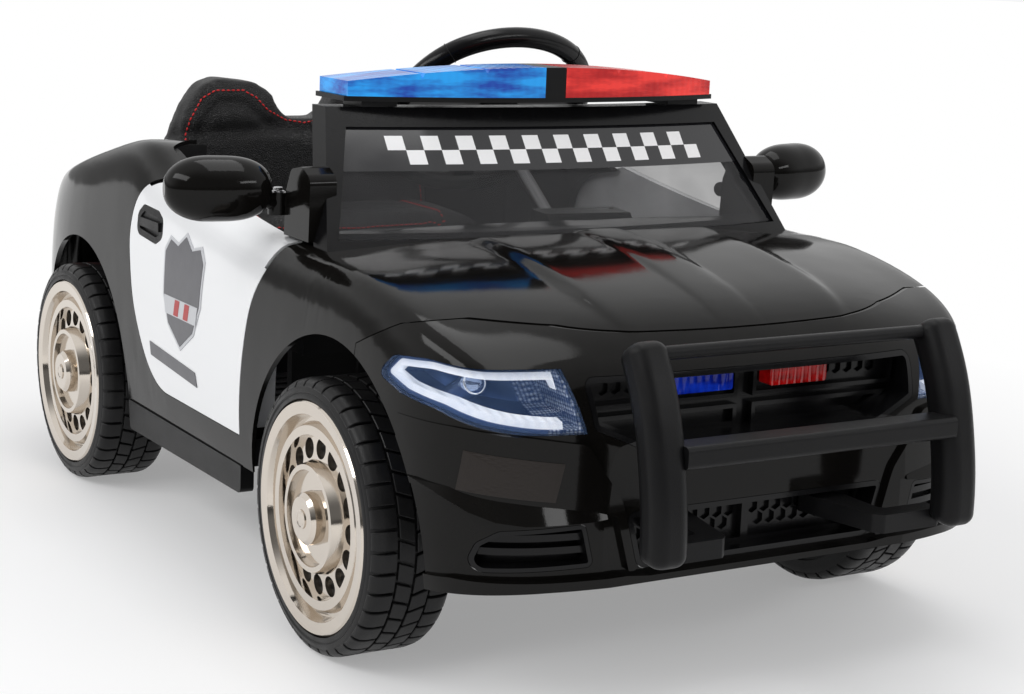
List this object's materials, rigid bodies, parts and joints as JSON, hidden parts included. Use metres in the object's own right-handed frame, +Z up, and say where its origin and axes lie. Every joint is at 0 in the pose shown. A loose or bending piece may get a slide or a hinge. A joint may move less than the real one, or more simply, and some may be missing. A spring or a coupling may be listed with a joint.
{
  "type": "ride-on toy police car",
  "caption": "Child's battery ride-on police car with opening doors, steered front wheels, light bar on the windscreen and a bull bar.",
  "frame": {"origin": "on the ground, under the middle of the overall box", "axes": "+X forward along the car, +Y to the car's left, +Z up"},
  "size_m": [1.0478, 0.6528, 0.4593],
  "materials": {
    "black_gloss": "moulded gloss black",
    "white_gloss": "moulded gloss white",
    "black_satin": "moulded satin black",
    "tinted_glass": "smoked clear sheet",
    "blue_lens": "clear blue moulding",
    "red_lens": "clear red moulding",
    "clear_lens": "clear moulding",
    "silver": "metallised reflector",
    "mirror": "metallised sheet",
    "leather": "black leatherette with red piping",
    "grey_plastic": "moulded grey",
    "steel": "plated steel",
    "steel_black": "black painted steel",
    "tyre": "black foam rubber",
    "champagne_chrome": "warm bright plating"
  },
  "bodies": {
    "chassis": {"battery": "grey_plastic", "body_shell": "black_gloss", "bull_bar": "black_satin", "dashboard": "black_satin", "door_sills": "black_satin", "floor_tub": "black_satin", "fog_vents": "black_satin", "front_axle_beam": "steel_black", "front_channel": "steel_black", "front_fascia": "black_gloss", "gearboxes": "grey_plastic", "grille_lamp_blue": "blue_lens", "grille_lamp_red": "red_lens", "headlight_bowls": "silver", "headlight_lenses": "clear_lens", "headlight_projectors": "silver", "headlight_strips": "white_gloss", "light_bar_base": "black_satin", "light_bar_blue": "blue_lens", "light_bar_red": "red_lens", "lower_grille": "black_satin", "mirror_glasses": "mirror", "mirror_left": "black_gloss", "mirror_right": "black_gloss", "rear_axle": "steel", "rear_bumper": "black_gloss", "seat_back": "leather", "seat_cushion": "leather", "seat_plinth": "black_satin", "side_skirts": "black_satin", "tail_lamps": "red_lens", "upper_grille": "black_satin", "windscreen_frame": "black_satin", "windscreen_glass": "tinted_glass"},
    "door_left": {"door_left": "white_gloss", "door_handle_left": "black_satin"},
    "door_right": {"door_right": "white_gloss", "door_handle_right": "black_satin"},
    "steering": {"steering_wheel": "black_satin", "steering_column": "steel"},
    "tie_rod": {"tie_rod": "steel_black"},
    "knuckle_left": {"knuckle_left": "steel_black"},
    "knuckle_right": {"knuckle_right": "steel_black"},
    "wheel_front_left": {"tyre_front_left": "tyre", "rim_front_left": "black_satin", "cover_front_left": "champagne_chrome"},
    "wheel_front_right": {"tyre_front_right": "tyre", "rim_front_right": "black_satin", "cover_front_right": "champagne_chrome"},
    "wheel_rear_left": {"tyre_rear_left": "tyre", "rim_rear_left": "black_satin", "cover_rear_left": "champagne_chrome"},
    "wheel_rear_right": {"tyre_rear_right": "tyre", "rim_rear_right": "black_satin", "cover_rear_right": "champagne_chrome"}
  },
  "joints": [
    {"name": "door_left_hinge", "type": "hinge", "parent": "chassis", "child": "door_left", "pos_m": [0.146, 0.255, 0.2], "axis": [0, 0, -1], "range_deg": [0, 55]},
    {"name": "door_right_hinge", "type": "hinge", "parent": "chassis", "child": "door_right", "pos_m": [0.146, -0.255, 0.2], "axis": [0, 0, 1], "range_deg": [0, 55]},
    {"name": "steering", "type": "hinge", "parent": "chassis", "child": "steering", "pos_m": [-0.115, 0.084, 0.376], "axis": [-0.8133, 0, 0.5819], "range_deg": [-40, 40]},
    {"name": "knuckle_left_pivot", "type": "hinge", "parent": "chassis", "child": "knuckle_left", "pos_m": [0.245, 0.168, 0.106], "axis": [0, 0, 1], "range_deg": [-24.5, 24.5]},
    {"name": "knuckle_right_pivot", "type": "hinge", "parent": "chassis", "child": "knuckle_right", "pos_m": [0.245, -0.168, 0.106], "axis": [0, 0, 1], "range_deg": [-24.5, 24.5]},
    {"name": "tie_rod_slide", "type": "slide", "parent": "chassis", "child": "tie_rod", "axis": [0, -1, 0], "range_m": [-0.019, 0.019]},
    {"name": "wheel_front_left_spin", "type": "hinge", "parent": "knuckle_left", "child": "wheel_front_left", "pos_m": [0.245, 0.232, 0.106], "axis": [0, 1, 0], "continuous": true},
    {"name": "wheel_front_right_spin", "type": "hinge", "parent": "knuckle_right", "child": "wheel_front_right", "pos_m": [0.245, -0.232, 0.106], "axis": [0, 1, 0], "continuous": true},
    {"name": "wheel_rear_left_spin", "type": "hinge", "parent": "chassis", "child": "wheel_rear_left", "pos_m": [-0.314, 0.232, 0.106], "axis": [0, 1, 0], "continuous": true},
    {"name": "wheel_rear_right_spin", "type": "hinge", "parent": "chassis", "child": "wheel_rear_right", "pos_m": [-0.314, -0.232, 0.106], "axis": [0, 1, 0], "continuous": true}
  ],
  "couplings": [
    {"joint": "knuckle_left_pivot", "follows": "steering", "ratio": 0.6},
    {"joint": "knuckle_right_pivot", "follows": "steering", "ratio": 0.6},
    {"joint": "tie_rod_slide", "follows": "steering", "m_per_rad": 0.0262}
  ]
}
